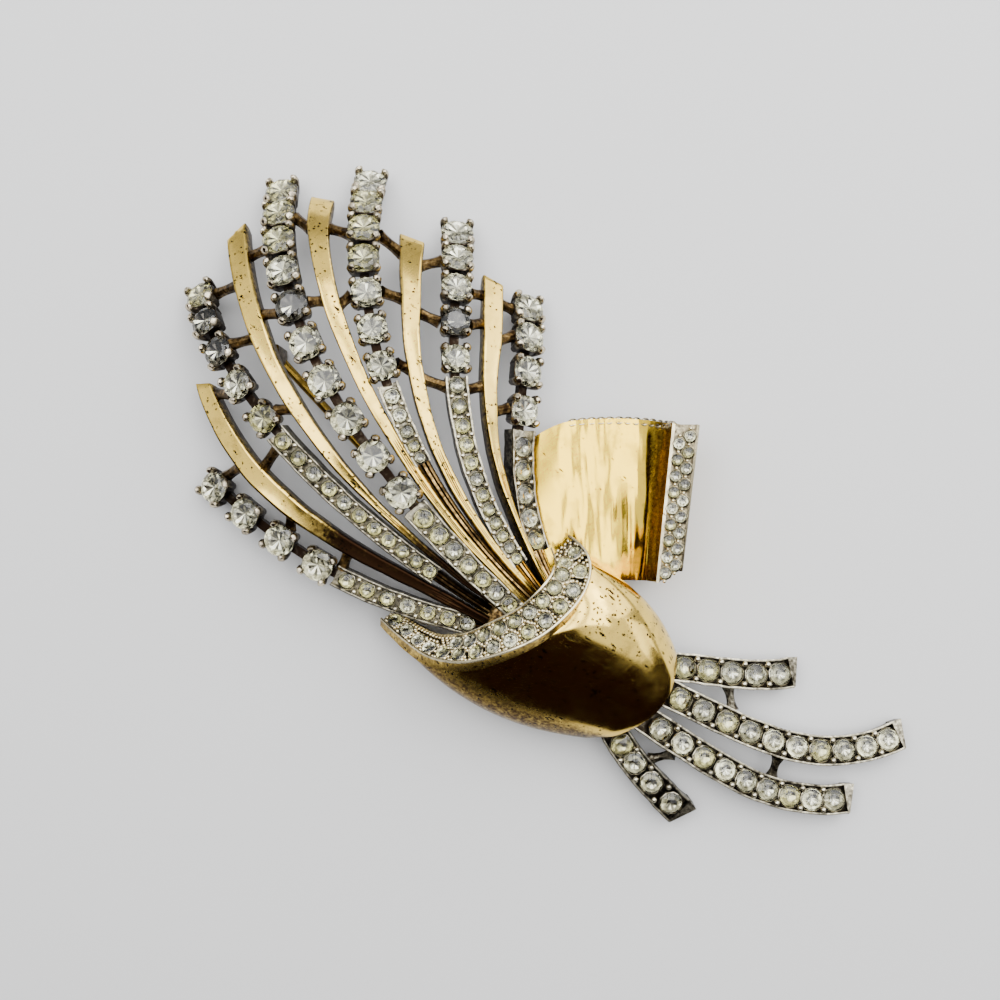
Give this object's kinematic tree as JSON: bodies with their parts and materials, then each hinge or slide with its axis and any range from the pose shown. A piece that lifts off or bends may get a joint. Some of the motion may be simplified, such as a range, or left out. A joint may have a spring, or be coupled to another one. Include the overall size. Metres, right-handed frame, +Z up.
{
  "type": "flower brooch",
  "caption": "Flower spray brooch: a domed fan of gilt bands and crystal rows gathered in a rolled sleeve, with a curled ribbon, set stems and a pin on the back.",
  "frame": {"origin": "middle of the brooch's outline in plan, on the surface that it lies on", "axes": "+X to the right of the picture, +Y towards the top of the fan, +Z up out of the brooch's face"},
  "size_m": [0.0798, 0.0724, 0.0145],
  "materials": {
    "gold_plate": "worn polished plate",
    "rhodium_plate": "tarnished polish",
    "pin_wire": "drawn wire",
    "crystal": "foil-backed, polished"
  },
  "bodies": {
    "root": {"spray_frame": "gold_plate", "knot_sleeve": "gold_plate", "ribbon_tail": "gold_plate", "stem_spray": "rhodium_plate", "pin_back": "pin_wire", "collar_stones": "crystal", "ribbon_stones": "crystal", "channel_stones_1": "crystal", "channel_stones_2": "crystal", "channel_stones_3": "crystal", "channel_stones_4": "crystal", "channel_stones_5": "crystal", "channel_stones_6": "crystal", "stem_stones_1": "crystal", "stem_stones_2": "crystal", "stem_stones_3": "crystal", "stem_stones_4": "crystal", "claw_stone_1_1": "crystal", "claw_stone_1_2": "crystal", "claw_stone_1_3": "crystal", "claw_stone_1_4": "crystal", "claw_stone_2_1": "crystal", "claw_stone_2_2": "crystal", "claw_stone_2_3": "crystal", "claw_stone_2_4": "crystal", "claw_stone_2_5": "crystal", "claw_stone_3_1": "crystal", "claw_stone_3_2": "crystal", "claw_stone_3_3": "crystal", "claw_stone_3_4": "crystal", "claw_stone_3_5": "crystal", "claw_stone_3_6": "crystal", "claw_stone_3_7": "crystal", "claw_stone_3_8": "crystal", "claw_stone_3_9": "crystal", "claw_stone_3_10": "crystal", "claw_stone_4_1": "crystal", "claw_stone_4_2": "crystal", "claw_stone_4_3": "crystal", "claw_stone_4_4": "crystal", "claw_stone_4_5": "crystal", "claw_stone_4_6": "crystal", "claw_stone_4_7": "crystal", "claw_stone_5_1": "crystal", "claw_stone_5_2": "crystal", "claw_stone_5_3": "crystal", "claw_stone_5_4": "crystal", "claw_stone_5_5": "crystal", "claw_stone_6_1": "crystal", "claw_stone_6_2": "crystal", "claw_stone_6_3": "crystal", "claw_stone_6_4": "crystal"}
  },
  "joints": []
}
